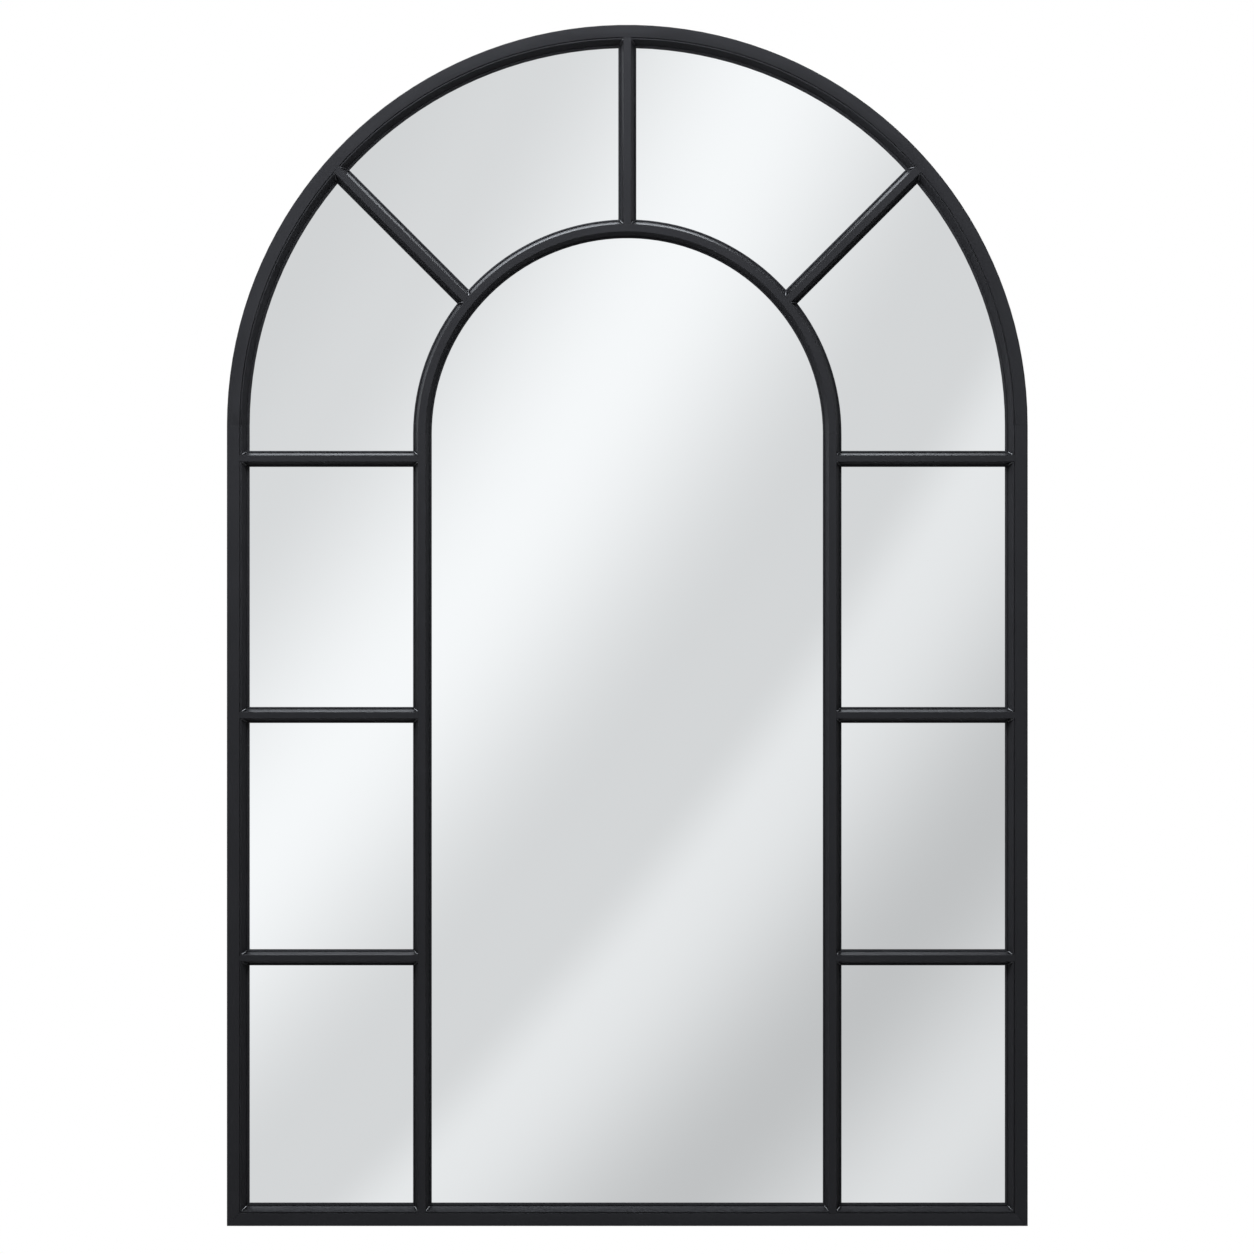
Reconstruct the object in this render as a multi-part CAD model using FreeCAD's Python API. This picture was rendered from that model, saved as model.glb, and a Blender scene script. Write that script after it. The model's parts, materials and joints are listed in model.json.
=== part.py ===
import FreeCAD, Part
import math
import os

# Arched window mirror. Millimetres. X to the right, Z up, Y from front to back.
# The origin is the middle of the bottom edge, halfway between the front faces and the wall.

# overall size
WIDTH = 800.0
HEIGHT = 1200.0
R_OUT = WIDTH / 2
SPRING = HEIGHT - R_OUT          # height where the outer stiles become the arch

# depths, measured back from the front face
GLASS_FRONT = 10.0
GLASS = 4.0
GLASS_BACK = GLASS_FRONT + GLASS
FOAM = 3.0
BACKING_FRONT = GLASS_BACK + FOAM
BACKING = 3.0
FRAME_DEPTH = BACKING_FRONT + BACKING
BUMPER = 6.0
DEPTH = FRAME_DEPTH + BUMPER

# outer frame section
FACE = 12.6                      # flat front face, and the box section behind it
OUTER_WIDTH = 21.7               # face and moulding together
OUTER_LIP = 2.2
WALL = 1.3
OUTER_BREAK = 0.8                # bevel along the outer edge of the face
REBATE_GAP = 1.0                 # round the edge of the glass
BACKING_GAP = 0.5

QUIRK_WIDTH = 0.9                # narrow groove beside the face
QUIRK = 1.5                      # its depth
BEAD_TOP_WIDTH = 1.0             # bead between the quirk and the moulding
BEAD_TOP = 0.4

# moulding along the side of every bar, down from its front edge to the glass
EDGE_SIDE = 0.5                  # narrow bevel down from the edge
EDGE_FOOT = 1.1
SLOPE_END = 7.2
GROOVE_WIDTH = 0.9               # groove between the slope and the lip
GROOVE = 8.6
LIP_FRONT = 7.8                  # the lip leans back from here to LIP_SIGHT beside the glass
LIP_SIGHT = 8.6

# glazing bars
MAIN_FACE = 3.7                  # half the flat face of the inner arch, stiles and spokes
MAIN_HALF = 9.3                  # half the whole width of the inner arch and stiles
SPOKE_HALF = 9.0
CROSS_FACE = 3.1
CROSS_HALF = 8.0
BAR_LIP = 1.4
WEB_HALF = 1.5                   # web between two panes
PANE_GAP = 0.8                   # from web to pane
INNER_R = 0.513 * R_OUT          # centre line of the inner arch and of its stiles
ARCH_DROP = 0.01 * SPRING        # from the outer arch's centre down to the inner arch's
INNER_SPRING = SPRING - ARCH_DROP
UPPER_DROP = 0.0315 * SPRING     # from the inner arch's centre down to the upper bars
UPPER_Z = INNER_SPRING - UPPER_DROP
CROSS_Z = {"upper": UPPER_Z, "middle": 0.6655 * UPPER_Z, "lower": 0.349 * UPPER_Z}
BAR_RUN_IN = 2.0                 # how far a bar is run past the rebate before it is scribed
SPOKE_ANGLE = {"left": 135.0, "top": 90.0, "right": 45.0}
SPOKE_DROP = 0.034 * SPRING      # from the inner arch's centre down to where the spokes meet
SPOKE_CENTRE = INNER_SPRING - SPOKE_DROP
SEAT_ANGLE = 25.0                # half the stretch of inner arch that a spoke is scribed to
SEAT_OVERRUN = 3.0               # length past the arch's centre line, cut off by the scribing

# foam strips behind the glass
FOAM_HALF = 7.0
FOAM_IN = 24.0                   # inner edge of the strip round the outer frame
FOAM_GAP = 0.5

# small round parts are prisms with this many flats
FLATS = 16

# turn buttons and their rivets
BUTTON_PIVOT = FACE / 2
BUTTON_LEN = 16.0
BUTTON_TAIL = 5.0
BUTTON_HALF = 5.0
BUTTON_THICK = 1.2
BUTTON_LIFT = 0.1
RIVET_R = 2.0
RIVET_RUN = 0.08                 # running clearance of a button on its rivet
RIVET_FIT = 0.05
RIVET_HEAD_R = 3.8
RIVET_HEAD = 1.0
RIVET_TAIL_R = 3.0
RIVET_TAIL = 1.5
BUTTON_STILE_Z = {"lower": 0.19 * SPRING, "middle": 0.6 * SPRING}
BUTTON_RAIL_X = 0.5 * R_OUT
BUTTON_ARCH = 45.0

# strap hangers
HANG_Z = 0.9275 * SPRING         # height of the ring's axis
STRAP_LEN = 42.0                 # from the ring's axis to the strap's lower end
STRAP_LOW = HANG_Z - STRAP_LEN
HANGER_INSET = 8.0               # from the outer edge to the middle of the strap
STRAP_HALF = 4.5
STRAP_THICK = 1.2
WIRE_R = 1.2
RING_RUN = 0.08
RING_LIFT = 0.3                  # from the strap to the folded ring
RING_HALF = 6.4
RING_SIDE = 6.0
RING_BEND = 1.2
STRAP_RIVET_Z = (STRAP_LOW + 8.0, STRAP_LOW + 20.0)
STRAP_RIVET_R = 1.6
STRAP_HEAD_R = 3.0
STRAP_HEAD = 0.8

# bumpers
BUMPER_R = 6.0
BUMPER_TIP_R = 5.0
BUMPER_STILE_Z = 0.4 * SPRING
BUMPER_ARCH = (20.0, 90.0, 160.0)


def y_of(depth):
    """Y of a depth measured from the front face."""
    return depth - DEPTH / 2


def vec(x, y, z):
    return FreeCAD.Vector(x, y, z)


def face_from(outline, place):
    """Face from its outline, each point placed in space by place."""
    points = [place(*point) for point in outline]
    return Part.Face(Part.makePolygon([*points, points[0]]))


def moulding(edge, edge_depth, sight, lip):
    """Moulded side of a bar from its front edge to the glass: bevel, slope, groove and lip."""
    groove = sight - lip - GROOVE_WIDTH
    return [
        (edge, edge_depth),
        (edge + EDGE_SIDE, EDGE_FOOT),
        (groove, SLOPE_END),
        (groove + GROOVE_WIDTH / 2, GROOVE),
        (sight - lip, LIP_FRONT),
        (sight, LIP_SIGHT),
        (sight, GLASS_FRONT),
    ]


def outer_section():
    """Outer bar, u inward from the outer edge: box, quirk, bead, moulding and rebate."""
    bead = FACE + QUIRK_WIDTH
    return [
        (0, OUTER_BREAK),
        (OUTER_BREAK, 0),
        (FACE, 0),
        (FACE + QUIRK_WIDTH / 2, QUIRK),
        (bead, BEAD_TOP),
        *moulding(bead + BEAD_TOP_WIDTH, BEAD_TOP, OUTER_WIDTH, OUTER_LIP),
        (FACE, GLASS_FRONT),
        (FACE, FRAME_DEPTH),
        (0, FRAME_DEPTH),
    ]


def bore_section():
    """Hollow of the outer bar's box."""
    far = FACE - WALL
    back = FRAME_DEPTH - WALL
    return [(WALL, WALL), (far, WALL), (far, back), (WALL, back)]


def bar_section(face_half, half):
    """Glazing bar about its centre line: moulded both sides, with a web between the panes."""
    right = moulding(face_half, 0, half, BAR_LIP)
    left = [(-t, d) for t, d in reversed(right)]
    web = [(WEB_HALF, GLASS_FRONT), (WEB_HALF, GLASS_BACK)]
    return [*left, *right, *web, *[(-t, d) for t, d in reversed(web)]]


def strip_section(half, front, back):
    """Plain rectangle about a centre line."""
    return [(-half, front), (half, front), (half, back), (-half, back)]


def straight(section, start, angle, length):
    """Section run from start (x, z) along a direction in the XZ plane."""
    a = math.radians(angle)
    along = vec(math.cos(a), 0, math.sin(a))
    across = vec(math.sin(a), 0, -math.cos(a))
    origin = vec(start[0], 0, start[1])
    face = face_from(section, lambda t, d: origin + across * t + vec(0, y_of(d), 0))
    return face.extrude(along * length)


def arched(section, radius, spring, inward=False, start=0, sweep=180):
    """Section run round an arch. With inward, t counts from radius towards the centre."""
    side = -1 if inward else 1
    a = math.radians(start)
    out = vec(math.cos(a), 0, math.sin(a))
    centre = vec(0, 0, spring)
    face = face_from(
        section, lambda t, d: centre + out * (radius + side * t) + vec(0, y_of(d), 0))
    return face.revolve(centre, vec(0, -1, 0), sweep)


def arch_plate(inset, front, back):
    """Plate of the mirror's outline, inset all round."""
    r = R_OUT - inset
    x = r
    low = y_of(front)
    lines = [
        Part.LineSegment(vec(-x, low, SPRING), vec(-x, low, inset)).toShape(),
        Part.LineSegment(vec(-x, low, inset), vec(x, low, inset)).toShape(),
        Part.LineSegment(vec(x, low, inset), vec(x, low, SPRING)).toShape(),
        Part.Arc(vec(x, low, SPRING), vec(0, low, SPRING + r), vec(-x, low, SPRING)).toShape(),
    ]
    return Part.Face(Part.Wire(lines)).extrude(vec(0, back - front, 0))


def circle(centre, radius, axis, hole=False):
    """Polygon round an axis across Z: inside the circle, or for a hole outside it."""
    reach = radius / math.cos(math.pi / FLATS) if hole else radius
    up = vec(0, 0, 1)
    side = axis.cross(up).normalize()
    points = []
    for step in range(FLATS + 1):
        a = 2 * math.pi * (step % FLATS) / FLATS
        points.append(centre + side * (reach * math.cos(a)) + up * (reach * math.sin(a)))
    return Part.makePolygon(points)


def disc(x, z, radius, front, back, hole=False):
    """Round piece, or the cut for one, standing on the XZ plane."""
    along = vec(0, back - front, 0)
    return Part.Face(circle(vec(x, y_of(front), z), radius, along, hole)).extrude(along)


def wedge(side):
    """Everything on the rail's side of the mitre at the left (-1) or right (1) bottom corner."""
    tip = vec(side * R_OUT, -DEPTH, 0)
    reach = 2 * OUTER_WIDTH
    points = [tip, tip + vec(-side * reach, 0, 0), tip + vec(-side * reach, 0, reach), tip]
    return Part.Face(Part.makePolygon(points)).extrude(vec(0, 2 * DEPTH, 0))


def outer_stile(side, hollow):
    """Outer stile from the mitre up to the arch."""
    if side > 0:
        solid = straight(hollow, (R_OUT, SPRING), -90, SPRING)
    else:
        solid = straight(hollow, (-R_OUT, 0), 90, SPRING)
    return solid.cut(wedge(side))


def rail(section):
    """Bottom rail between the two mitres."""
    solid = straight(section, (R_OUT, 0), 180, WIDTH)
    keep = Part.makePolygon([
        vec(-R_OUT, -DEPTH, 0), vec(R_OUT, -DEPTH, 0), vec(0, -DEPTH, R_OUT), vec(-R_OUT, -DEPTH, 0)])
    return solid.common(Part.Face(keep).extrude(vec(0, 2 * DEPTH, 0)))


def polar(radius, angle, spring=SPRING):
    """Point (x, z) on a circle about the arch's centre."""
    a = math.radians(angle)
    return radius * math.cos(a), spring + radius * math.sin(a)


def spoke_run(name, overrun=0.0):
    """Start (x, z) on the inner arch's centre line, and length to the rebate, of a spoke."""
    a = math.radians(SPOKE_ANGLE[name])

    def reach(radius, spring):
        drop = spring - SPOKE_CENTRE
        return drop * math.sin(a) + math.sqrt(radius ** 2 - (drop * math.cos(a)) ** 2)

    near = reach(INNER_R, INNER_SPRING) - overrun
    far = reach(R_OUT - FACE + BAR_RUN_IN, SPRING)
    start = (near * math.cos(a), SPOKE_CENTRE + near * math.sin(a))
    return start, far - near


def cross_run(side, level):
    """Start (x, z) on the inner stile's centre line, angle and length of a horizontal bar."""
    angle = 0 if side > 0 else 180
    return (side * INNER_R, CROSS_Z[level]), angle, R_OUT - FACE + BAR_RUN_IN - INNER_R


def strips(half, front, back):
    """Rectangular strips along every glazing bar's centre line, by bar name."""
    section = strip_section(half, front, back)
    made = {"inner_arch": arched(section, INNER_R, INNER_SPRING)}
    for name, side in (("left", -1), ("right", 1)):
        low = FACE - BAR_RUN_IN
        made["inner_stile_" + name] = straight(
            section, (side * INNER_R, low), 90, INNER_SPRING - low)
        for level in CROSS_Z:
            start, angle, length = cross_run(side, level)
            made["cross_%s_%s" % (level, name)] = straight(section, start, angle, length)
    for name in SPOKE_ANGLE:
        start, length = spoke_run(name)
        made["spoke_" + name] = straight(section, start, SPOKE_ANGLE[name], length)
    return made


def outer_frame():
    """The four outer pieces, and one solid of their filled outline that bars are scribed to."""
    solid = outer_section()
    bore = bore_section()
    pieces = {
        "outer_arch": (arched(solid, R_OUT, SPRING, True), arched(bore, R_OUT, SPRING, True)),
        "left_outer_stile": (outer_stile(-1, solid), outer_stile(-1, bore)),
        "right_outer_stile": (outer_stile(1, solid), outer_stile(1, bore)),
        "bottom_rail": (rail(solid), rail(bore)),
    }
    made = {name: whole.cut(hole) for name, (whole, hole) in pieces.items()}
    outlines = [whole for whole, hole in pieces.values()]
    return made, outlines


def scribed(bar, neighbours):
    """Bar cut to the shape of the pieces it runs into."""
    for other in neighbours:
        bar = bar.cut(other)
    return largest(bar)


def largest(shape):
    return max(shape.Solids, key=lambda s: s.Volume)


def inner_frame(outlines):
    """Inner arch, its stiles, the spokes and the horizontal bars, scribed to one another."""
    main = bar_section(MAIN_FACE, MAIN_HALF)
    spoke = bar_section(MAIN_FACE, SPOKE_HALF)
    cross = bar_section(CROSS_FACE, CROSS_HALF)
    arch = arched(main, INNER_R, INNER_SPRING)
    made = {"inner_arch": arch}
    for name, side in (("left", -1), ("right", 1)):
        low = FACE - BAR_RUN_IN
        bar = straight(main, (side * INNER_R, low), 90, INNER_SPRING - low)
        stile = scribed(bar, outlines)
        made[name + "_inner_stile"] = stile
        for level in CROSS_Z:
            start, angle, length = cross_run(side, level)
            bar = straight(cross, start, angle, length)
            made["%s_%s_glazing_bar" % (level, name)] = scribed(bar, [*outlines, stile, arch])
    for name, angle in SPOKE_ANGLE.items():
        start, length = spoke_run(name, overrun=SEAT_OVERRUN)
        bar = straight(spoke, start, angle, length)
        seat = arched(main, INNER_R, INNER_SPRING, start=angle - SEAT_ANGLE, sweep=2 * SEAT_ANGLE)
        made[name + "_spoke"] = scribed(bar, [*outlines, seat])
    return made


def panes():
    """The mirror sheet parted along the webs. Each pane is named by where it lies."""
    sheet = arch_plate(FACE + REBATE_GAP, GLASS_FRONT, GLASS_BACK)
    webs = list(strips(WEB_HALF + PANE_GAP, GLASS_FRONT - 1, GLASS_BACK + 1).values())
    made = {}
    for pane in sheet.cut(webs).Solids:
        middle = pane.BoundBox.Center
        if abs(middle.x) < 1:
            made["centre_pane"] = pane
            continue
        name = "left" if middle.x < 0 else "right"
        if middle.z < CROSS_Z["lower"]:
            row = "bottom"
        elif middle.z < CROSS_Z["middle"]:
            row = "lower"
        elif middle.z < CROSS_Z["upper"]:
            row = "upper"
        elif abs(middle.x) > INNER_R:
            row = "side_fan"
        else:
            row = "top_fan"
        made["%s_%s_pane" % (name, row)] = pane
    return made


def foam():
    """Foam strips between the panes and the backing panel."""
    rim = arch_plate(FACE + BACKING_GAP, GLASS_BACK, BACKING_FRONT)
    rim = rim.cut(arch_plate(FOAM_IN, GLASS_BACK - 1, BACKING_FRONT + 1))
    field = arch_plate(FOAM_IN + FOAM_GAP, GLASS_BACK - 1, BACKING_FRONT + 1)
    laid = strips(FOAM_HALF, GLASS_BACK, BACKING_FRONT)
    margin = strips(FOAM_HALF + FOAM_GAP, GLASS_BACK - 1, BACKING_FRONT + 1)
    inner = [margin[n] for n in ("inner_arch", "inner_stile_left", "inner_stile_right")]
    pieces = []
    for name, strip in laid.items():
        strip = strip.common(field)
        if name.startswith(("cross", "spoke")):
            strip = strip.cut(inner)
        pieces.append(largest(strip))
    return {"perimeter_foam": rim, "glazing_bar_foam": Part.makeCompound(pieces)}


def button_places():
    """Pivot (x, z) and inward direction in degrees of every turn button, by name."""
    u = BUTTON_PIVOT
    places = {}
    for name, side, angle in (("left", -1, 0), ("right", 1, 180)):
        for level, z in BUTTON_STILE_Z.items():
            places["%s_%s_turn_button" % (level, name)] = ((side * (R_OUT - u), z), angle)
        places["rail_%s_turn_button" % name] = ((side * BUTTON_RAIL_X, u), 90)
        out = 90 - side * BUTTON_ARCH
        places["arch_%s_turn_button" % name] = (polar(R_OUT - u, out), out + 180)
    return places


def turn_button(place, angle):
    """Flat tongue with rounded ends and a hole for its rivet."""
    x, z = place
    a = math.radians(angle)
    front = FRAME_DEPTH + BUTTON_LIFT
    back = front + BUTTON_THICK
    outline = []
    for middle, turn in ((BUTTON_LEN - BUTTON_HALF, -90), (BUTTON_HALF - BUTTON_TAIL, 90)):
        for step in range(FLATS // 2 + 1):
            b = math.radians(turn + 360 * step / FLATS)
            outline.append((middle + BUTTON_HALF * math.cos(b), BUTTON_HALF * math.sin(b)))
    along = vec(math.cos(a), 0, math.sin(a))
    across = vec(-math.sin(a), 0, math.cos(a))
    origin = vec(x, y_of(front), z)
    plate = face_from(outline, lambda s, t: origin + along * s + across * t).extrude(
        vec(0, back - front, 0))
    return plate.cut(disc(x, z, RIVET_R + RIVET_RUN, front - 1, back + 1, hole=True))


def rivet(x, z, radius, head_r, head, grip):
    """Blind rivet: set tail inside the box, shank through the frame's back wall, and head."""
    wall_front = FRAME_DEPTH - WALL
    head_front = FRAME_DEPTH + grip
    tail = disc(x, z, RIVET_TAIL_R, wall_front - RIVET_TAIL, wall_front)
    shank = disc(x, z, radius, wall_front, head_front)
    cap = disc(x, z, head_r, head_front, head_front + head)
    return tail.fuse([shank, cap])


def strap(x):
    """Strap hanger: a plate with its upper end rolled into a knuckle for the ring."""
    axis = FRAME_DEPTH + STRAP_THICK + RING_LIFT + WIRE_R
    bore = WIRE_R + RING_RUN
    width = vec(2 * STRAP_HALF, 0, 0)
    plate = Part.makeBox(
        2 * STRAP_HALF, STRAP_THICK, HANG_Z - STRAP_LOW, vec(x - STRAP_HALF, y_of(FRAME_DEPTH), STRAP_LOW))
    start = vec(x - STRAP_HALF, y_of(axis), HANG_Z)
    knuckle = Part.Face(circle(start, bore + STRAP_THICK, width)).extrude(width)
    eye = Part.Face(circle(start, bore, width, hole=True)).extrude(width)
    solid = plate.fuse(knuckle).cut(eye)
    for z in STRAP_RIVET_Z:
        solid = solid.cut(disc(
            x, z, STRAP_RIVET_R + RIVET_FIT, FRAME_DEPTH - 1, FRAME_DEPTH + STRAP_THICK + 1, hole=True))
    return solid.removeSplitter()


def ring(x):
    """D-ring hanging down, its straight side in the strap's knuckle."""
    y = y_of(FRAME_DEPTH + STRAP_THICK + RING_LIFT + WIRE_R)
    inner = RING_HALF - RING_BEND
    side = HANG_Z - RING_SIDE
    path = [(0, HANG_Z), (inner, HANG_Z), (RING_HALF, HANG_Z - RING_BEND)]
    reach = RING_HALF / math.cos(math.pi / FLATS)
    for step in range(FLATS // 2):
        a = 2 * math.pi * (step + 0.5) / FLATS
        path.append((reach * math.cos(a), side - reach * math.sin(a)))
    path += [(-RING_HALF, HANG_Z - RING_BEND), (-inner, HANG_Z), (0, HANG_Z)]
    spine = Part.makePolygon([vec(x + u, y, z) for u, z in path])
    wire = circle(vec(x, y, HANG_Z), WIRE_R, vec(1, 0, 0))
    return spine.makePipeShell([wire], True, False, 1)


def bumpers():
    """Soft tapered pads on the back of the outer frame, which keep it off the wall."""
    u = FACE / 2
    places = [polar(R_OUT - u, angle) for angle in BUMPER_ARCH]
    for side in (-1, 1):
        places.append((side * (R_OUT - u), u))
        places.append((side * (R_OUT - u), BUMPER_STILE_Z))
    out = vec(0, BUMPER, 0)
    pads = []
    for x, z in places:
        base = vec(x, y_of(FRAME_DEPTH), z)
        ends = [circle(base, BUMPER_R, out), circle(base + out, BUMPER_TIP_R, out)]
        pads.append(Part.makeLoft(ends, True, True))
    return Part.makeCompound(pads)


def build():
    made, outlines = outer_frame()
    places = button_places()
    strap_x = {"left": HANGER_INSET - R_OUT, "right": R_OUT - HANGER_INSET}

    # rivet holes in the back wall of the outer frame
    holes = []
    for (x, z), angle in places.values():
        holes.append(disc(x, z, RIVET_R + RIVET_FIT, FRAME_DEPTH - WALL - 1, FRAME_DEPTH + 1, True))
    for x in strap_x.values():
        for z in STRAP_RIVET_Z:
            holes.append(disc(
                x, z, STRAP_RIVET_R + RIVET_FIT, FRAME_DEPTH - WALL - 1, FRAME_DEPTH + 1, True))
    for name in made:
        made[name] = made[name].cut(holes)

    made.update(inner_frame(outlines))
    made.update(panes())
    made.update(foam())
    made["backing_panel"] = arch_plate(FACE + BACKING_GAP, BACKING_FRONT, FRAME_DEPTH)

    rivets = []
    for name, (place, angle) in places.items():
        made[name] = turn_button(place, angle)
        grip = BUTTON_THICK + 2 * BUTTON_LIFT
        rivets.append(rivet(*place, RIVET_R, RIVET_HEAD_R, RIVET_HEAD, grip))
    made["turn_button_rivets"] = Part.makeCompound(rivets)

    rivets = []
    for name, x in strap_x.items():
        made[name + "_strap_hanger"] = strap(x)
        made[name + "_hanging_ring"] = ring(x)
        for z in STRAP_RIVET_Z:
            rivets.append(rivet(x, z, STRAP_RIVET_R, STRAP_HEAD_R, STRAP_HEAD, STRAP_THICK))
    made["strap_rivets"] = Part.makeCompound(rivets)
    made["wall_bumpers"] = bumpers()
    return made


os.makedirs("parts", exist_ok=True)
for node, shape in build().items():
    if len(shape.Solids) == 1:
        shape = shape.Solids[0]
    box = shape.optimalBoundingBox(False, False)
    print("%-24s solids %d valid %s volume %.1f  x %.1f %.1f  y %.2f %.2f  z %.1f %.1f" % (
        node, len(shape.Solids), shape.isValid(), shape.Volume,
        box.XMin, box.XMax, box.YMin, box.YMax, box.ZMin, box.ZMax))
    shape.exportStep("parts/%s.step" % node)
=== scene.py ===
import json
import math

import bpy
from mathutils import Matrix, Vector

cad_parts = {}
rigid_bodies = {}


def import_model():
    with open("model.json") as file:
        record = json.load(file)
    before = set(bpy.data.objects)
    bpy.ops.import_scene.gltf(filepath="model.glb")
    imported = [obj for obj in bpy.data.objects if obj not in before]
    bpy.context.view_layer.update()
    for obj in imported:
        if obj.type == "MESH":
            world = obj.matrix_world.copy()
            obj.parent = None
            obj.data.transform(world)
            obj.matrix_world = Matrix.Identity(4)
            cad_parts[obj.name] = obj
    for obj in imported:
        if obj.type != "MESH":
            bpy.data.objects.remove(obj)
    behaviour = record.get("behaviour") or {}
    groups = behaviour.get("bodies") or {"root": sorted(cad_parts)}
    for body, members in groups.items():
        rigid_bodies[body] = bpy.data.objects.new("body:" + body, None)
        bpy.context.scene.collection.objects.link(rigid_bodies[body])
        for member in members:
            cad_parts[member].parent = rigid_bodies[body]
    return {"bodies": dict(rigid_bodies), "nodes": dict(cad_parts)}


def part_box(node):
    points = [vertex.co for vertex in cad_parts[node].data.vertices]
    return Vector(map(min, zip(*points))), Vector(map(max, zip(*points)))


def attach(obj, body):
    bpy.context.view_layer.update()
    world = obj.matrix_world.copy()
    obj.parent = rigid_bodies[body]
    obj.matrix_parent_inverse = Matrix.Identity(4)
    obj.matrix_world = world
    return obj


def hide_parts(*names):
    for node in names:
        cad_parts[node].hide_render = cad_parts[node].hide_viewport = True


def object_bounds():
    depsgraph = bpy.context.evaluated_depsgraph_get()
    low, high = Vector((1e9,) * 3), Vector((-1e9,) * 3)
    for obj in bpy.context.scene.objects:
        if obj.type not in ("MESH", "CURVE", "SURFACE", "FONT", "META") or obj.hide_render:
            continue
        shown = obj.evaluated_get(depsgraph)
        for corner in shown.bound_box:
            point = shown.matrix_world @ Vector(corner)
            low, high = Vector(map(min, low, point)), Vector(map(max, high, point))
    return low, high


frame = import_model()
cad_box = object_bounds()


# ---------------------------------------------------------------------------------------------
# Outer frame: a rolled steel section with a flat face and a moulded inner side, bent for the
# head and cut for the stiles and the rail, welded, dressed flush and powder coated black.

def linear(hex_colour):
    """sRGB hex colour as the linear value that a shader takes."""
    parts = [int(hex_colour[i:i + 2], 16) / 255 for i in (1, 3, 5)]
    return tuple(c / 12.92 if c <= 0.04045 else ((c + 0.055) / 1.055) ** 2.4 for c in parts) + (1,)


def add(tree, kind, settings=None, links=None):
    """Adds one shader node, with its settings and what is linked to its inputs."""
    made = tree.nodes.new("ShaderNode" + kind)
    for name, value in (settings or {}).items():
        if hasattr(made, str(name)):
            setattr(made, name, value)
        else:
            made.inputs[name].default_value = value
    for name, source in (links or {}).items():
        tree.links.new(source, made.inputs[name])
    return made


def material(name, **constants):
    """New material with a Principled shader, and that shader."""
    made = bpy.data.materials.new(name)
    made.use_nodes = True
    shader = made.node_tree.nodes["Principled BSDF"]
    for socket, value in constants.items():
        shader.inputs[socket.replace("_", " ")].default_value = value
    return made, made.node_tree, shader


def ramp(tree, source, low, high, start=0.0, end=1.0):
    """Value between low and high as a pattern's factor goes from start to end."""
    made = add(tree, "MapRange", {1: start, 2: end, 3: low, 4: high}, {0: source})
    return made.outputs[0]


# Satin powder coat, sprayed and baked: near black with a cool sheen, a faint orange peel about
# 2 mm across, and a slow unevenness of thickness that makes the sheen drift along a bar.
COOL_SHEEN = (0.90, 0.925, 1.0, 1.0)
COAT_CLOUD = 0.045               # metres from one thick place of the coat to the next
PEEL_SIZE = 0.0022
powder_coat, tree, shader = material(
    "satin_black_powder_coat", Metallic=0.0, Specular_IOR_Level=0.06, Specular_Tint=COOL_SHEEN)
place = add(tree, "TexCoord").outputs["Object"]
clouds = add(tree, "TexNoise", {"Scale": 1 / COAT_CLOUD, "Detail": 3.0}, {"Vector": place})
peel = add(tree, "TexNoise", {"Scale": 1 / PEEL_SIZE, "Detail": 2.0}, {"Vector": place})
tone = add(tree, "MixRGB", {"Color1": linear("#2a2a2c"), "Color2": linear("#303032")},
           {"Fac": clouds.outputs["Fac"]})
tree.links.new(tone.outputs[0], shader.inputs["Base Color"])
tree.links.new(ramp(tree, clouds.outputs["Fac"], 0.38, 0.46, 0.3, 0.7), shader.inputs["Roughness"])
waves = add(tree, "Bump", {"Strength": 0.06, "Distance": 0.00005}, {"Height": peel.outputs["Fac"]})
tree.links.new(waves.outputs[0], shader.inputs["Normal"])


MERGE = 0.000002                 # metres; the loose triangles of a node share their corners
FLAT_ANGLE = math.radians(0.4)   # triangles that lie flatter than this are one face
EDGE_ANGLE = math.radians(25)    # an edge sharper than this is rounded
SMOOTH_ANGLE = math.radians(35)


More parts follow.
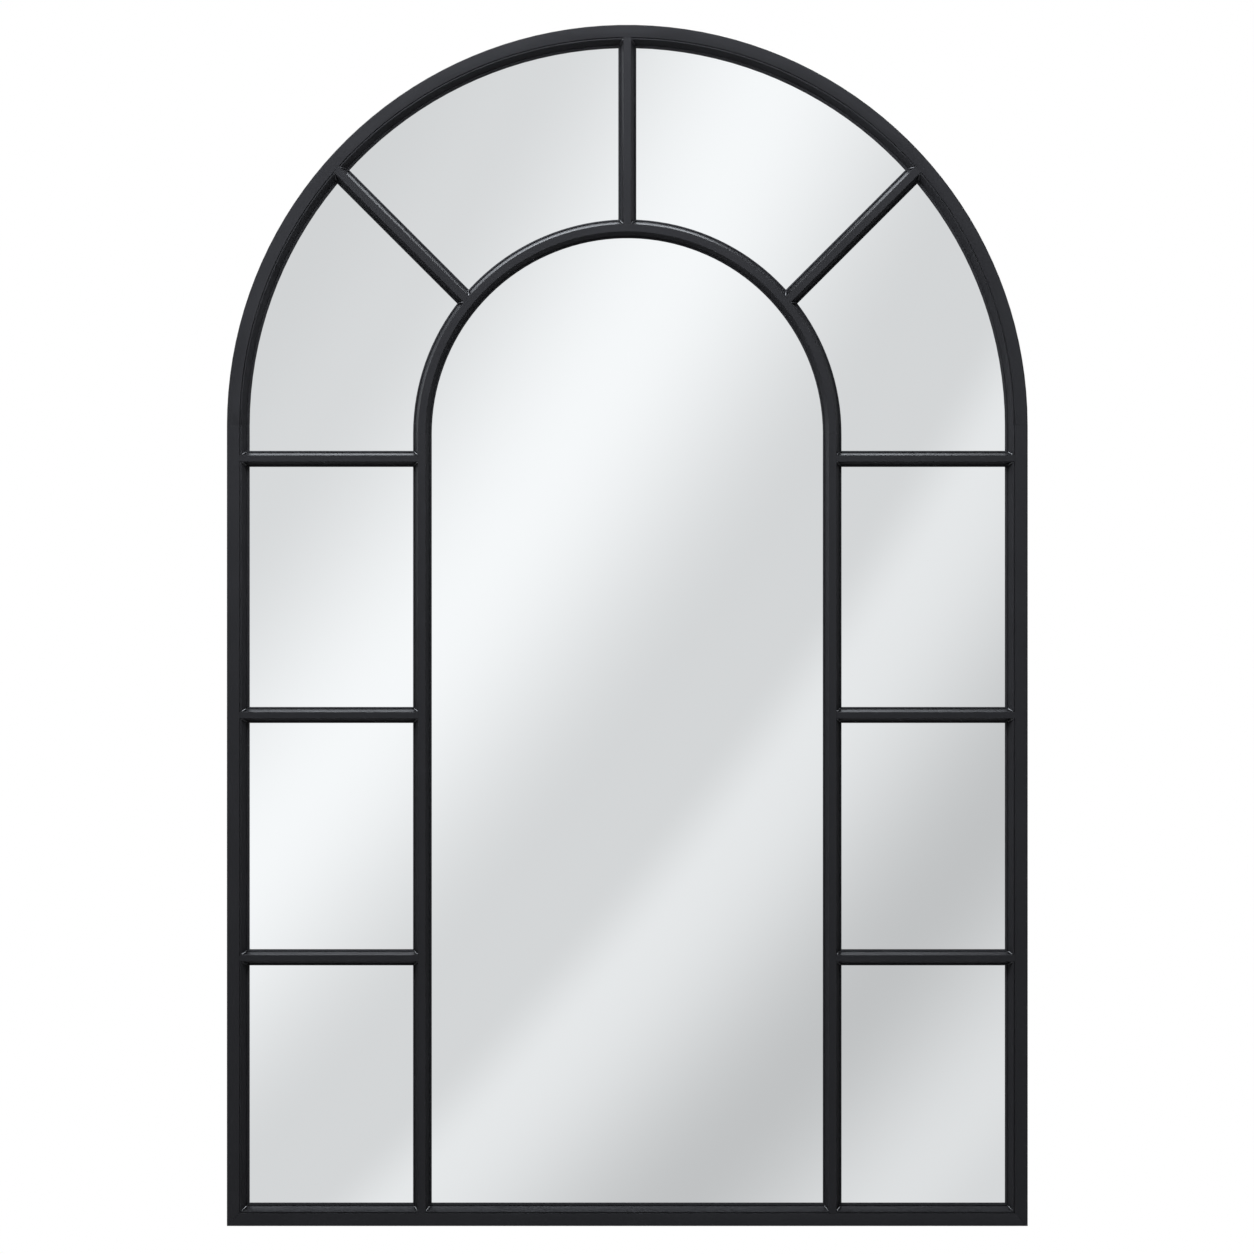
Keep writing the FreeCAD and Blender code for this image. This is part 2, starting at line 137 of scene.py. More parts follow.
def finished(node, body, surface, edge_mm, along=None):
    """Copy of a CAD node in its finish, with its edges rounded, or only those that run along."""
    bpy.ops.object.select_all(action="DESELECT")
    piece = frame["nodes"][node].copy()
    piece.data = frame["nodes"][node].data.copy()
    piece.name = node + "_finished"
    for key in [k for k in piece.keys() if k.startswith("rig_")]:
        del piece[key]
    piece.parent = None
    bpy.context.scene.collection.objects.link(piece)
    bpy.context.view_layer.objects.active = piece
    piece.select_set(True)
    bpy.ops.object.mode_set(mode="EDIT")
    bpy.ops.mesh.select_mode(type="EDGE")
    bpy.ops.mesh.select_all(action="SELECT")
    bpy.ops.mesh.remove_doubles(threshold=MERGE)
    bpy.ops.mesh.dissolve_limited(angle_limit=FLAT_ANGLE)
    bpy.ops.mesh.select_all(action="DESELECT")
    bpy.ops.mesh.edges_select_sharp(sharpness=EDGE_ANGLE)
    if along:
        bpy.ops.object.mode_set(mode="OBJECT")
        points = piece.data.vertices
        for edge in piece.data.edges:
            ends = [points[i].co for i in edge.vertices]
            edge.select = edge.select and along(*ends)
        bpy.ops.object.mode_set(mode="EDIT")
    bpy.ops.transform.edge_bevelweight(value=1.0)
    bpy.ops.object.mode_set(mode="OBJECT")
    bpy.ops.object.shade_smooth_by_angle(angle=SMOOTH_ANGLE)
    rounding = piece.modifiers.new("edges", "BEVEL")
    rounding.width = edge_mm / 1000
    rounding.segments = 2
    rounding.limit_method = "WEIGHT"
    rounding.harden_normals = True
    bpy.ops.object.modifier_apply(modifier="edges")
    # a bevel can run a few hundredths of a millimetre past a mitred end
    low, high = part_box(node)
    for point in piece.data.vertices:
        point.co = [min(max(value, a), b) for value, a, b in zip(point.co, low, high)]
    piece.data.materials.clear()
    piece.data.materials.append(surface)
    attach(piece, body)
    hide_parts(node)


SHORTEST_EDGE = 0.003            # the edges of rivet holes and of scribed ends are shorter
SAME_RADIUS = 0.0003
SAME_DEPTH = 0.00002
LEAN_ALLOWED = 0.02              # sine of the angle that an edge may stray from its bar


def on_arch(centre_z):
    """Whether an edge runs round an arch, at one distance from its centre and one depth."""
    def along(a, b):
        radii = [math.hypot(p.x, p.z - centre_z) for p in (a, b)]
        level = abs(radii[0] - radii[1]) < SAME_RADIUS and abs(a.y - b.y) < SAME_DEPTH
        return level and (b - a).length > SHORTEST_EDGE
    return along


def on_line(degrees):
    """Whether an edge runs in a direction in the mirror's plane."""
    way = Vector((math.cos(math.radians(degrees)), 0, math.sin(math.radians(degrees))))

    def along(a, b):
        length = (b - a).length
        return length > SHORTEST_EDGE and (b - a).cross(way).length < LEAN_ALLOWED * length
    return along


ARCH_CENTRE = 0.800              # height of the centre of the outer arch
OUTER_EDGE = 0.35                # rounding of the edges in millimetres
finished("outer_arch", "frame", powder_coat, OUTER_EDGE, on_arch(ARCH_CENTRE))
finished("bottom_rail", "frame", powder_coat, OUTER_EDGE, on_line(0))
for side in ("left", "right"):
    finished(side + "_outer_stile", "frame", powder_coat, OUTER_EDGE, on_line(90))


# ---------------------------------------------------------------------------------------------
# Inner frame: the inner arch on its two stiles, three spokes and six short glazing bars, all
# moulded steel, scribed over one another's mouldings, welded and coated with the outer frame.

INNER_ARCH_CENTRE = 0.792
BAR_EDGE = 0.2
finished("inner_arch", "frame", powder_coat, BAR_EDGE, on_arch(INNER_ARCH_CENTRE))
for name, lean in (("left", 135), ("top", 90), ("right", 45)):
    finished(name + "_spoke", "frame", powder_coat, BAR_EDGE, on_line(lean))
for side in ("left", "right"):
    finished(side + "_inner_stile", "frame", powder_coat, BAR_EDGE, on_line(90))
    for level in ("upper", "middle", "lower"):
        finished("%s_%s_glazing_bar" % (level, side), "frame", powder_coat,
                 BAR_EDGE, on_line(0))


# ---------------------------------------------------------------------------------------------
# Corner welds: where two bars meet at a corner of a pane, a thin fillet of weld runs down the
# valley between their mouldings. The coat pools over it and dries glossier than on the flats.

# signed distance in metres from a bar's centre line, or from the outer edge of the outer frame
def upright(x_line):
    return lambda x, z: x - x_line


def level_bar(z_line):
    return lambda x, z: z - z_line


def hoop(radius, centre_z):
    return lambda x, z: math.hypot(x, z - centre_z) - radius


def ray_bar(degrees, centre_z):
    a = math.radians(degrees)
    return lambda x, z: -math.sin(a) * x + math.cos(a) * (z - centre_z)


def crossing(bar_a, bar_b, reach_a, reach_b, start):
    """Point (x, z) at given distances from two bars, on the side of each that holds start."""
    x, z = start
    reach_a = math.copysign(reach_a, bar_a(x, z))
    reach_b = math.copysign(reach_b, bar_b(x, z))
    step = 1e-6
    for turn in range(12):
        rows = []
        for bar, reach in ((bar_a, reach_a), (bar_b, reach_b)):
            here = bar(x, z)
            across = (bar(x + step, z) - here) / step
            upward = (bar(x, z + step) - here) / step
            rows.append((across, upward, reach - here))
        (a, b, e), (c, d, f) = rows
        scale = a * d - b * c
        x, z = x + (e * d - b * f) / scale, z + (a * f - e * c) / scale
    return x, z


# how far the top of the slope and the lip lie from each kind of bar's centre line
OUTER_SLOPE = (0.0148, 0.0195)
MAIN_SLOPE = (0.0042, 0.0079)
SPOKE_SLOPE = (0.0042, 0.0076)
CROSS_SLOPE = (0.0036, 0.0066)
FRONT_Y = -0.013
FILLET_TOP = 0.0009              # depth of its ridge at the top of the slope
FILLET_DROP = 0.5                # how much the ridge falls back along its length
SPOKES_MEET = 0.7648             # heights of the spokes' centre and of the glazing bars
BAR_LEVELS = (0.26761, 0.51030, 0.7668)
OUTER_HALF = 0.4                 # from the middle to the outer edge, and to the inner stiles
INNER_HALF = 0.2052
rail = (level_bar(0.0), OUTER_SLOPE)
outer_arch = (hoop(OUTER_HALF, ARCH_CENTRE), OUTER_SLOPE)
inner_arch = (hoop(INNER_HALF, INNER_ARCH_CENTRE), MAIN_SLOPE)
top_spoke = (ray_bar(90, SPOKES_MEET), SPOKE_SLOPE)
crossings = []
for side, sign, lean in (("left", -1, 135), ("right", 1, 45)):
    outer_stile = (upright(sign * OUTER_HALF), OUTER_SLOPE)
    inner_stile = (upright(sign * INNER_HALF), MAIN_SLOPE)
    spoke = (ray_bar(lean, SPOKES_MEET), SPOKE_SLOPE)
    lower, middle, upper = [(level_bar(z), CROSS_SLOPE) for z in BAR_LEVELS]
    for pane, below, above in (
            ("bottom", rail, lower), ("lower", lower, middle), ("upper", middle, upper)):
        crossings += [(side + "_" + pane, stile, bar)
                      for stile in (outer_stile, inner_stile) for bar in (below, above)]
    crossings += [(side + "_side_fan", bar_a, bar_b)
                  for bar_a, bar_b in ((upper, outer_stile), (upper, inner_stile),
                                       (spoke, outer_arch), (spoke, inner_arch))]
    crossings += [(side + "_top_fan", bar, arch)
                  for bar in (spoke, top_spoke) for arch in (outer_arch, inner_arch)]
    crossings.append(("centre", rail, inner_stile))

# one fillet 1 m long, a web with a rounded ridge that narrows a little to the back
RIDGE = 0.0005                   # radius of its end
WEB = 0.0044                     # depth of the web below the ridge
GROWTH = ((0.04, 1.4), (0.06, 1.1), (0.4, 1.0), (0.4, 0.9), (0.06, 0.85), (0.04, 0.6))
bpy.ops.object.select_all(action="DESELECT")
bpy.ops.mesh.primitive_circle_add(vertices=12, radius=RIDGE, fill_type="NGON")
fillet = bpy.context.active_object
for point in fillet.data.vertices:
    if point.co.y < -0.2 * RIDGE:
        point.co.y -= WEB
bpy.ops.object.mode_set(mode="EDIT")
for rise, grow in GROWTH:
    bpy.ops.mesh.extrude_region_move(TRANSFORM_OT_translate={"value": (0, 0, rise)})
    bpy.ops.transform.resize(value=(grow, grow, 1), center_override=(0, 0, 0))
bpy.ops.mesh.select_all(action="SELECT")
bpy.ops.mesh.normals_make_consistent(inside=False)
bpy.ops.object.mode_set(mode="OBJECT")
bpy.ops.object.shade_smooth_by_angle(angle=math.radians(60))

# Pooled powder coat: the same black, run smooth and glossy where it lies thickest.
pooled, tree, shader = material(
    "pooled_powder_coat", Roughness=0.3, Specular_IOR_Level=0.8, Specular_Tint=COOL_SHEEN,
    Coat_Weight=1.0, Coat_Roughness=0.25, Coat_IOR=1.6)
place = add(tree, "TexCoord").outputs["Object"]
clouds = add(tree, "TexNoise", {"Scale": 1 / COAT_CLOUD, "Detail": 3.0}, {"Vector": place})
tone = add(tree, "MixRGB", {"Color1": linear("#161618"), "Color2": linear("#1c1c1e")},
           {"Fac": clouds.outputs["Fac"]})
tree.links.new(tone.outputs[0], shader.inputs["Base Color"])

welds = []
for pane, (bar_a, slope_a), (bar_b, slope_b) in crossings:
    low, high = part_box(pane + "_pane")
    start = ((low.x + high.x) / 2, (low.z + high.z) / 2)
    ends = []
    for reach_a, reach_b in zip(slope_a, slope_b):
        x, z = crossing(bar_a, bar_b, reach_a, reach_b, start)
        ends.append(Vector((x, FRONT_Y + FILLET_TOP, z)))
    run = ends[1] - ends[0]
    run.y = FILLET_DROP * run.length
    across = run.cross((0, 1, 0)).normalized()
    turn = Matrix((across, run.cross(across).normalized(), run.normalized()))
    turn = turn.transposed().to_4x4()
    weld = fillet.copy()
    weld.data = fillet.data.copy()
    bpy.context.scene.collection.objects.link(weld)
    weld.data.transform(Matrix.Diagonal((1, 1, run.length, 1)))
    weld.data.transform(Matrix.Translation(ends[0]) @ turn)
    welds.append(weld)
bpy.data.objects.remove(fillet)
bpy.ops.object.select_all(action="DESELECT")
for weld in welds:
    weld.select_set(True)
bpy.context.view_layer.objects.active = welds[0]
bpy.ops.object.join()
corner_welds = bpy.context.active_object
corner_welds.name = "corner_welds"
corner_welds.data.materials.clear()
corner_welds.data.materials.append(pooled)
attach(corner_welds, "frame")


# ---------------------------------------------------------------------------------------------
# Mirror panes: eleven pieces of 4 mm float glass, silvered on the back and cut to the openings,
# lying in the rebates behind the mouldings.

# Silvered float glass: a metal mirror behind clear glass, very slightly cool, flat to the eye
# but with the long shallow waves that every rolled and tempered sheet has.
WAVE_LENGTH = 0.16
silvered, tree, shader = material(
    "silvered_float_glass", Metallic=1.0, Roughness=0.012, Base_Color=linear("#f6f8f9"))
place = add(tree, "TexCoord").outputs["Object"]
swell = add(tree, "TexNoise", {"Scale": 1 / WAVE_LENGTH, "Detail": 1.0}, {"Vector": place})
flat = add(tree, "Bump", {"Strength": 0.02, "Distance": 0.0004}, {"Height": swell.outputs["Fac"]})
tree.links.new(flat.outputs[0], shader.inputs["Normal"])

for name, pane in frame["nodes"].items():
    if name.endswith("_pane"):
        pane.data.materials.clear()
        pane.data.materials.append(silvered)


# ---------------------------------------------------------------------------------------------
# Foam strips: self-adhesive closed-cell tape laid behind the joints of the panes and round the
# rim, pressed between the glass and the backing panel. Hidden in use.

# Polyethylene foam: dark grey, matt, with cells about half a millimetre across.
CELL_SIZE = 0.0006
foam, tree, shader = material("closed_cell_foam", Roughness=0.95, Specular_IOR_Level=0.2)
place = add(tree, "TexCoord").outputs["Object"]
cells = add(tree, "TexVoronoi", {"Scale": 1 / CELL_SIZE}, {"Vector": place})
tone = add(tree, "MixRGB", {"Color1": linear("#2a2a2b"), "Color2": linear("#3b3b3c")},
           {"Fac": cells.outputs["Distance"]})
tree.links.new(tone.outputs[0], shader.inputs["Base Color"])
pits = add(tree, "Bump", {"Strength": 0.5, "Distance": 0.0002},
           {"Height": cells.outputs["Distance"]})
tree.links.new(pits.outputs[0], shader.inputs["Normal"])

for name in ("perimeter_foam", "glazing_bar_foam"):
    strip = frame["nodes"][name]
    strip.data.materials.clear()
    strip.data.materials.append(foam)


# ---------------------------------------------------------------------------------------------
# Backing panel: one arched sheet of 3 mm hardboard that closes the back, flush with the frame
# and held by the turn buttons.

# Hardboard: pressed wood fibre, mid brown, smooth, with flecks of lighter and darker fibre a
# few millimetres long and a slow cloudiness from the press.
PRESS_CLOUD = 0.12
FIBRE_LENGTH = 0.003
hardboard, tree, shader = material("pressed_hardboard", Specular_IOR_Level=0.3)
place = add(tree, "TexCoord").outputs["Object"]
cloudy = add(tree, "TexNoise", {"Scale": 1 / PRESS_CLOUD, "Detail": 4.0}, {"Vector": place})
fibre = add(tree, "TexNoise", {"Scale": 1 / FIBRE_LENGTH, "Detail": 4.0, "Distortion": 1.5},
            {"Vector": place})
base = add(tree, "MixRGB", {"Color1": linear("#6b4c34"), "Color2": linear("#7d5a3d")},
           {"Fac": cloudy.outputs["Fac"]})
fleck = ramp(tree, fibre.outputs["Fac"], 0.0, 0.55, 0.56, 0.7)
tone = add(tree, "MixRGB", {"Color2": linear("#a07c58")}, {"Fac": fleck, "Color1": base.outputs[0]})
dark = ramp(tree, fibre.outputs["Fac"], 0.5, 0.0, 0.3, 0.42)
shade = add(tree, "MixRGB", {"Color2": linear("#3d2919")}, {"Fac": dark, "Color1": tone.outputs[0]})
tree.links.new(shade.outputs[0], shader.inputs["Base Color"])
tree.links.new(ramp(tree, fibre.outputs["Fac"], 0.5, 0.68), shader.inputs["Roughness"])
felt = add(tree, "Bump", {"Strength": 0.25, "Distance": 0.0001}, {"Height": fibre.outputs["Fac"]})
tree.links.new(felt.outputs[0], shader.inputs["Normal"])

PANEL_EDGE = 0.4
finished("backing_panel", "frame", hardboard, PANEL_EDGE)


# ---------------------------------------------------------------------------------------------
# Turn buttons: eight stamped steel tongues, each on its own rivet. Turned inward they hold the
# backing panel, turned along the frame they let it out.

# Zinc plate on steel: bright, slightly blue, with fine drawing lines of the strip it was cut
# from and a soft haze.
HAZE_SIZE = 0.004
LINE_WIDTH = 0.0006
zinc, tree, shader = material("bright_zinc_plate", Metallic=1.0)
place = add(tree, "TexCoord").outputs["Object"]
haze = add(tree, "TexNoise", {"Scale": 1 / HAZE_SIZE, "Detail": 3.0}, {"Vector": place})
stretch = add(tree, "Mapping", {"Scale": (1.0, 1.0, 0.08)}, {"Vector": place})
lines = add(tree, "TexNoise", {"Scale": 1 / LINE_WIDTH, "Detail": 2.0},
            {"Vector": stretch.outputs[0]})
tone = add(tree, "MixRGB", {"Color1": linear("#b4b8bd"), "Color2": linear("#c9ccd0")},
           {"Fac": haze.outputs["Fac"]})
tree.links.new(tone.outputs[0], shader.inputs["Base Color"])
tree.links.new(ramp(tree, haze.outputs["Fac"], 0.28, 0.42), shader.inputs["Roughness"])
drawn = add(tree, "Bump", {"Strength": 0.2, "Distance": 0.00003}, {"Height": lines.outputs["Fac"]})
tree.links.new(drawn.outputs[0], shader.inputs["Normal"])

STAMPED_EDGE = 0.2
for body in frame["bodies"]:
    if body.endswith("_turn_button"):
        finished(body, body, zinc, STAMPED_EDGE)


def turned_copies(node, profile, places, surface):
    """One turned piece, grown ring by ring from its foot, copied to its places and joined."""
    bpy.ops.object.select_all(action="DESELECT")
    (foot, radius), rest = profile[0], profile[1:]
    bpy.ops.mesh.primitive_circle_add(
        vertices=32, radius=radius, fill_type="NGON",
        location=(0, foot, 0), rotation=(math.radians(-90), 0, 0))
    first = bpy.context.active_object
    bpy.ops.object.transform_apply(location=True, rotation=True)
    bpy.ops.object.mode_set(mode="EDIT")
    bpy.ops.mesh.select_all(action="SELECT")
    for level, wide in rest:
        bpy.ops.mesh.extrude_region_move(TRANSFORM_OT_translate={"value": (0, level - foot, 0)})
        grow = wide / radius
        bpy.ops.transform.resize(value=(grow, 1, grow), center_override=(0, 0, 0))
        foot, radius = level, wide
    bpy.ops.mesh.select_all(action="SELECT")
    bpy.ops.mesh.normals_make_consistent(inside=False)
    bpy.ops.object.mode_set(mode="OBJECT")
    bpy.ops.object.shade_smooth_by_angle(angle=math.radians(50))
    bpy.ops.object.select_all(action="DESELECT")
    copies = []
    for x, z in places:
        one = first.copy()
        one.data = first.data.copy()
        one.data.transform(Matrix.Translation((x, 0, z)))
        bpy.context.scene.collection.objects.link(one)
        one.select_set(True)
        copies.append(one)
    bpy.data.objects.remove(first)
    bpy.context.view_layer.objects.active = copies[0]
    bpy.ops.object.join()
    piece = bpy.context.active_object
    piece.name = node + "_turned"
    piece.data.materials.clear()
    piece.data.materials.append(surface)
    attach(piece, "frame")
    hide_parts(node)


FRAME_MID = 0.3937               # middle of the frame's back, from the mirror's centre line
RAIL_MID = 0.0063                # height of the middle of the bottom rail's back


def round_arch(degrees):
    """Point (x, z) in the middle of the outer arch's back."""
    a = math.radians(degrees)
    return FRAME_MID * math.cos(a), ARCH_CENTRE + FRAME_MID * math.sin(a)


# rivets of the turn buttons: (y, radius) of the upset tail inside the frame, then of the shank
# and the domed head
SET_TAIL = ((0.0042, 0.0022), (0.0045, 0.0028), (0.0049, 0.0030), (0.0057, 0.0030))
BUTTON_SHANK_HEAD = (
    (0.0057, 0.0020), (0.0084, 0.0020), (0.0084, 0.0037), (0.00855, 0.0038), (0.0087, 0.00375),
    (0.0090, 0.0033), (0.00922, 0.0025), (0.00935, 0.0015), (0.0094, 0.0006))
pivots = [round_arch(135), round_arch(45)]
for sign in (-1, 1):
    pivots += [(sign * FRAME_MID, 0.152), (sign * FRAME_MID, 0.480), (sign * 0.200, RAIL_MID)]
turned_copies("turn_button_rivets", SET_TAIL + BUTTON_SHANK_HEAD, pivots, zinc)


# ---------------------------------------------------------------------------------------------
# Strap hangers: on each outer stile a strip of steel with its end rolled round the straight side
# of a D-ring. The ring swings freely and hangs down until it is put on a hook.

for side in ("left", "right"):
    finished(side + "_strap_hanger", "frame", zinc, STAMPED_EDGE)

# two rivets through each strap
STRAP_X = 0.392
STRAP_SHANK_HEAD = (
    (0.0057, 0.0016), (0.0082, 0.0016), (0.0082, 0.0029), (0.0083, 0.0030), (0.00845, 0.00295),
    (0.0087, 0.0025), (0.00885, 0.0019), (0.00896, 0.0012), (0.0090, 0.0005))
holes = [(sign * STRAP_X, z) for sign in (-1, 1) for z in (0.708, 0.720)]
turned_copies("strap_rivets", SET_TAIL + STRAP_SHANK_HEAD, holes, zinc)

# the ring: round wire bent to a D, from the middle of its straight side once round
WIRE = 0.0012                    # radius of the wire
RING_Y = 0.0097                  # depth and height of the straight side's middle line
RING_TOP = 0.742
RING_HALF = 0.0064               # half its width, and the radius of its round end
RING_BEND = 0.0015
LEG_END = 0.736                  # height where the legs run into the round end
straight = RING_HALF - RING_BEND
bend_z = RING_TOP - RING_BEND
leg = bend_z - LEG_END
for side, sign in (("left", -1), ("right", 1)):
    bpy.ops.object.select_all(action="DESELECT")
    bpy.ops.mesh.primitive_circle_add(
        vertices=20, radius=WIRE, fill_type="NOTHING",
        location=(sign * STRAP_X, RING_Y, RING_TOP), rotation=(0, math.radians(90), 0))
    ring = bpy.context.active_object
    bpy.ops.object.transform_apply(location=True, rotation=True)
    bpy.ops.object.mode_set(mode="EDIT")
    bpy.ops.mesh.select_all(action="SELECT")
    for move, steps, degrees, x, z in (
            ((straight, 0, 0), 8, 90, sign * STRAP_X + straight, bend_z),
            ((0, 0, -leg), 32, 180, sign * STRAP_X, LEG_END),
            ((0, 0, leg), 8, 90, sign * STRAP_X - straight, bend_z)):
        bpy.ops.mesh.extrude_region_move(TRANSFORM_OT_translate={"value": move})
        bpy.ops.mesh.spin(steps=steps, angle=math.radians(degrees), center=(x, RING_Y, z),
                          axis=(0, -1, 0))
    bpy.ops.mesh.extrude_region_move(TRANSFORM_OT_translate={"value": (straight, 0, 0)})
    bpy.ops.mesh.select_all(action="SELECT")
    bpy.ops.mesh.remove_doubles(threshold=0.00001)
    bpy.ops.mesh.normals_make_consistent(inside=False)
    bpy.ops.object.mode_set(mode="OBJECT")
    bpy.ops.object.shade_smooth_by_angle(angle=math.radians(40))
    ring.name = side + "_ring_wire"
    ring.data.materials.append(zinc)
    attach(ring, side + "_hanging_ring")
    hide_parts(side + "_hanging_ring")


# ---------------------------------------------------------------------------------------------
# Bumpers: soft moulded rubber feet stuck to the back, which keep the frame off the wall.

# Moulded rubber: black, matt, with a fine spark-eroded grain.
GRAIN_SIZE = 0.0005
rubber, tree, shader = material(
    "moulded_black_rubber", Base_Color=linear("#1f1f20"), Specular_IOR_Level=0.3)
place = add(tree, "TexCoord").outputs["Object"]
grain = add(tree, "TexNoise", {"Scale": 1 / GRAIN_SIZE, "Detail": 2.0}, {"Vector": place})
tree.links.new(ramp(tree, grain.outputs["Fac"], 0.6, 0.8), shader.inputs["Roughness"])
pits = add(tree, "Bump", {"Strength": 0.3, "Distance": 0.00008}, {"Height": grain.outputs["Fac"]})
tree.links.new(pits.outputs[0], shader.inputs["Normal"])

# (y, radius) from the foot on the frame to the rounded rim of the tip and its shallow dish
BUMPER_PROFILE = (
    (0.0070, 0.0058), (0.0072, 0.0060), (0.0078, 0.0060), (0.0121, 0.0052), (0.0125, 0.00505),
    (0.0128, 0.0047), (0.01295, 0.0042), (0.01299, 0.0036), (0.01299, 0.0030), (0.0128, 0.0026),
    (0.01275, 0.0010))
places = [round_arch(20), round_arch(90), round_arch(160)]
places += [(sign * FRAME_MID, z) for z in (RAIL_MID, 0.320) for sign in (-1, 1)]
turned_copies("wall_bumpers", BUMPER_PROFILE, places, rubber)


# ---------------------------------------------------------------------------------------------
# Studio: the mirror hangs free above a pale floor in a white room. What the glass and the
# satin bars reflect is a large soft screen with slow diagonal bands of light and half light.



def result(tree, operation, first, second=0.0):
    """Outcome of a math node on a socket and a second socket or a number."""
    made = add(tree, "Math", {"operation": operation}, {0: first})
    if isinstance(second, float):
        made.inputs[1].default_value = second
    else:
        tree.links.new(second, made.inputs[1])
    return made.outputs[0]


bpy.ops.object.select_all(action="DESELECT")
FLOOR_DROP = 1.0                 # metres below the mirror's foot
FLOOR_RADIUS = 3.0
bpy.ops.mesh.primitive_circle_add(
    vertices=64, radius=FLOOR_RADIUS, fill_type="NGON", location=(0, 0, -FLOOR_DROP))
floor = bpy.context.active_object
floor.name = "studio_floor"
bpy.ops.object.transform_apply(location=True)
# Matt floor paint, pale grey. Away from the mirror the camera sees it turn to white, and the
# glass and the bars see it dim.
paint, tree, shader = material("pale_floor_paint", Base_Color=linear("#f2f2f2"), Roughness=0.8)
place = add(tree, "TexCoord").outputs["Object"]
level = add(tree, "Mapping", {"Scale": (1.0, 1.0, 0.0)}, {"Vector": place})
away = add(tree, "VectorMath", {"operation": "LENGTH"}, {0: level.outputs[0]})
fade = ramp(tree, away.outputs["Value"], 0.45, 1.0, 0.6, 2.6)
white = add(tree, "Emission", {"Color": (1, 1, 1, 1), "Strength": 1.0})
ray = add(tree, "LightPath")
both = result(tree, "MULTIPLY", fade, ray.outputs["Is Camera Ray"])
mixed = add(tree, "MixShader", {}, {0: both, 1: shader.outputs[0], 2: white.outputs[0]})
dusk = add(tree, "Emission", {"Color": (1, 1, 1, 1), "Strength": 0.2})
mixed = add(tree, "MixShader", {},
            {0: ray.outputs["Is Glossy Ray"], 1: mixed.outputs[0], 2: dusk.outputs[0]})
tree.links.new(mixed.outputs[0], tree.nodes["Material Output"].inputs["Surface"])
floor.data.materials.append(paint)

# The world is white to the camera, dim to matt surfaces, and the screen to mirrored rays.
world = bpy.data.worlds.new("studio")
bpy.context.scene.world = world
world.use_nodes = True
tree = world.node_tree
tree.nodes.clear()
out = add(tree, "OutputWorld")
ray = add(tree, "LightPath")
way = add(tree, "SeparateXYZ", {}, {0: add(tree, "TexCoord").outputs["Generated"]})
# slopes of the mirrored ray, taken forward of the mirror
forward = result(tree, "MULTIPLY", way.outputs["Y"], -1.0)
forward = result(tree, "MAXIMUM", forward, 0.15)
across = result(tree, "DIVIDE", way.outputs["X"], forward)
rise = result(tree, "DIVIDE", way.outputs["Z"], forward)
# position across the bands: they lean 35 degrees from upright and close up towards the top
BAND_LEAN = math.radians(35.4)
CROSS_BEND = 0.51
RISE_BEND = 0.35
BANDS_FROM = -0.148
BANDS_TO = 0.191
lean = result(tree, "ADD", result(tree, "MULTIPLY", across, math.cos(BAND_LEAN)),
              result(tree, "MULTIPLY", rise, -math.sin(BAND_LEAN)))
cross = result(tree, "MULTIPLY", result(tree, "MULTIPLY", across, rise), CROSS_BEND)
square = result(tree, "MULTIPLY", result(tree, "MULTIPLY", rise, rise), RISE_BEND)
where = result(tree, "ADD", lean, result(tree, "ADD", cross, square))
spot = ramp(tree, where, 0.0, 1.0, BANDS_FROM, BANDS_TO)
bands = add(tree, "ValToRGB", {}, {"Fac": spot})
bands.color_ramp.interpolation = "EASE"
BAND_LEVELS = ((0.0, 0.70), (0.10, 0.74), (0.30, 1.0), (0.50, 0.715), (0.56, 0.715),
               (0.62, 0.855), (0.80, 0.575), (0.94, 0.79), (1.0, 0.73))
while len(bands.color_ramp.elements) < len(BAND_LEVELS):
    bands.color_ramp.elements.new(0.5)
for element, (position, light) in zip(bands.color_ramp.elements, BAND_LEVELS):
    element.position = position
    element.color = (light * 0.995, light, light * 1.004, 1)
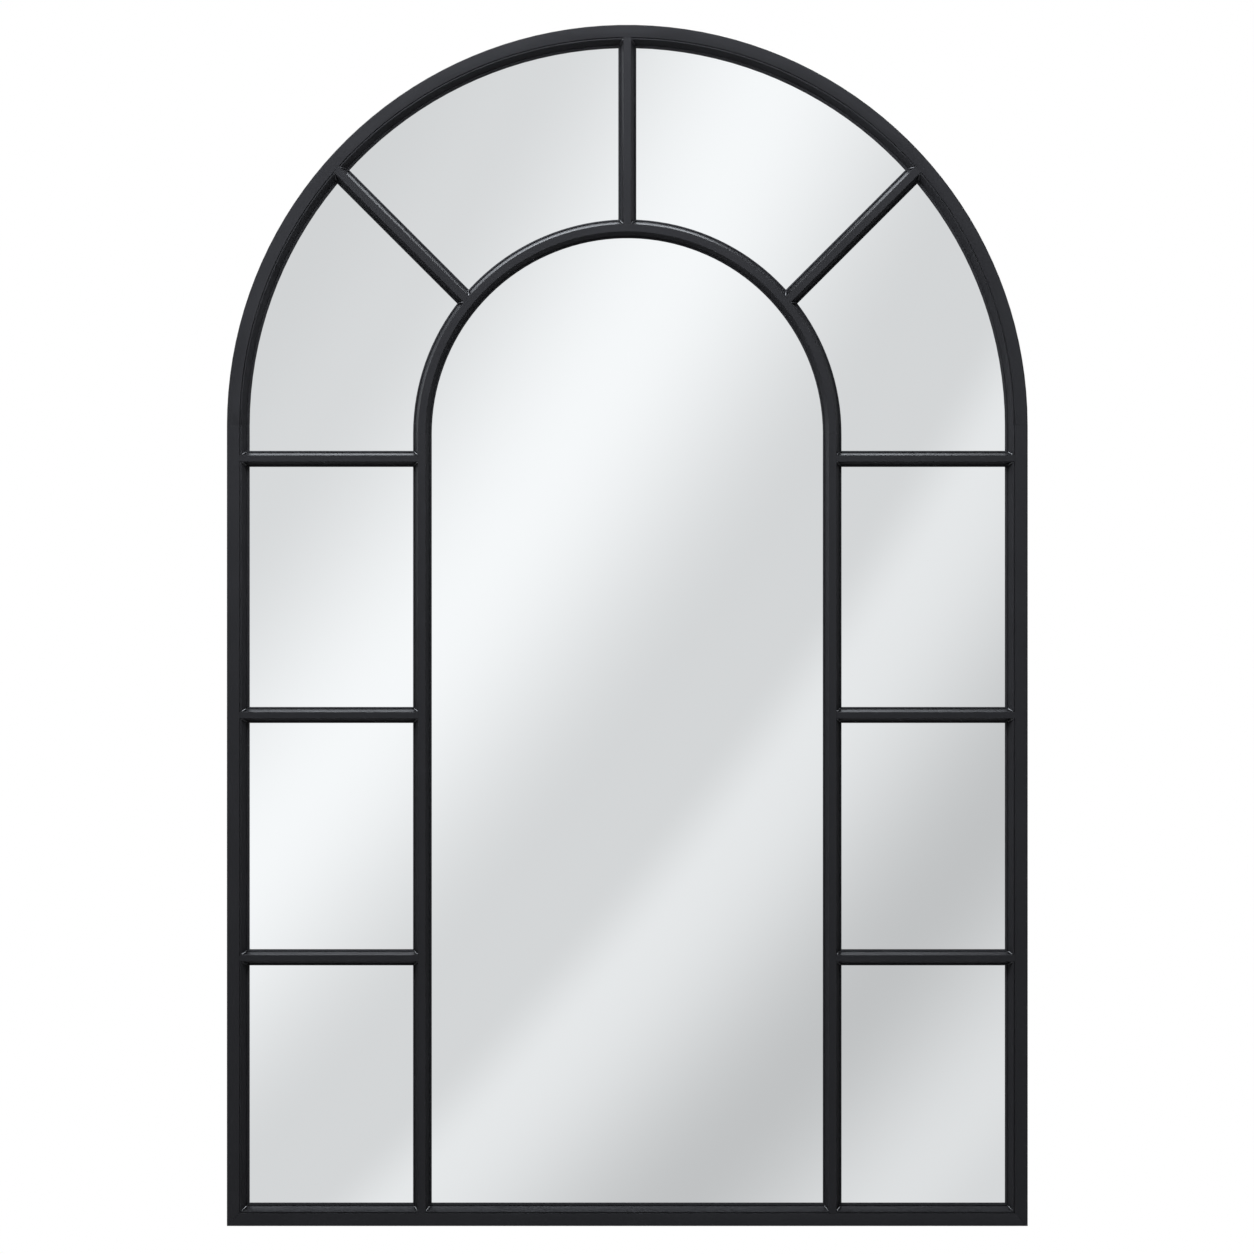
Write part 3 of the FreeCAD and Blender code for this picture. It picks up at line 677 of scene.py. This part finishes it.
# the screen fades to a dark room below, at the sides and above
low = ramp(tree, rise, 0.06, 1.0, -0.42, -0.18)
high = ramp(tree, rise, 1.0, 0.4, 0.19, 0.5)
top = ramp(tree, way.outputs["Z"], 1.0, 0.4, 0.3, 0.9)
wing = ramp(tree, result(tree, "ABSOLUTE", way.outputs["X"]), 1.0, 0.22, 0.125, 0.45)
shape = result(tree, "MULTIPLY", result(tree, "MULTIPLY", low, high), top)
shape = result(tree, "MULTIPLY", shape, wing)
reflected = add(tree, "Background", {}, {"Color": bands.outputs[0], "Strength": shape})
ambient = add(tree, "Background", {"Color": (1, 1, 1, 1), "Strength": 0.1})
white = add(tree, "Background", {"Color": (1, 1, 1, 1), "Strength": 1.0})
soft = add(tree, "MixShader", {},
           {0: ray.outputs["Is Glossy Ray"], 1: ambient.outputs[0], 2: reflected.outputs[0]})
clear = add(tree, "MixShader", {},
            {0: ray.outputs["Is Camera Ray"], 1: soft.outputs[0], 2: white.outputs[0]})
tree.links.new(clear.outputs[0], out.inputs["Surface"])

# one wide soft box overhead in front, a weaker one to each side and one for the back:
# place, width and height, watts, and the height on the mirror that it points at
LAMP_WHITE = (0.93, 0.96, 1.0)
for name, place, size, power, aim in (
        ("overhead_box", (-0.35, -1.0, 2.05), (1.8, 0.8), 47.0, 1.1),
        ("rear_box", (0.9, 2.6, 2.2), (1.6, 1.6), 90.0, 0.6),
        ("left_box", (-2.8, -2.6, 1.6), (1.4, 1.4), 14.0, 0.7),
        ("right_box", (2.8, -2.6, 1.6), (1.4, 1.4), 4.0, 0.7)):
    lamp = bpy.data.lights.new(name, "AREA")
    lamp.shape = "RECTANGLE"
    lamp.size, lamp.size_y = size
    lamp.energy = power
    lamp.color = LAMP_WHITE
    box = bpy.data.objects.new(name, lamp)
    bpy.context.scene.collection.objects.link(box)
    box.location = place
    toward = Vector((-place[0], -place[1], aim - place[2]))
    box.rotation_euler = toward.to_track_quat("-Z", "Y").to_euler()

# the photograph looks straight at the middle of the mirror from about 3.3 m
CAMERA_DISTANCE = 3.309          # metres from the front of the frame
lens = bpy.data.cameras.new("camera")
lens.sensor_width = 36.0
lens.lens = 95.12
camera = bpy.data.objects.new("camera", lens)
bpy.context.scene.collection.objects.link(camera)
camera.location = (-0.0003, cad_box[0].y - CAMERA_DISTANCE, 0.5984)
camera.rotation_euler = (math.radians(90), 0, 0)
bpy.context.scene.camera = camera

bpy.context.scene.view_settings.view_transform = "Standard"
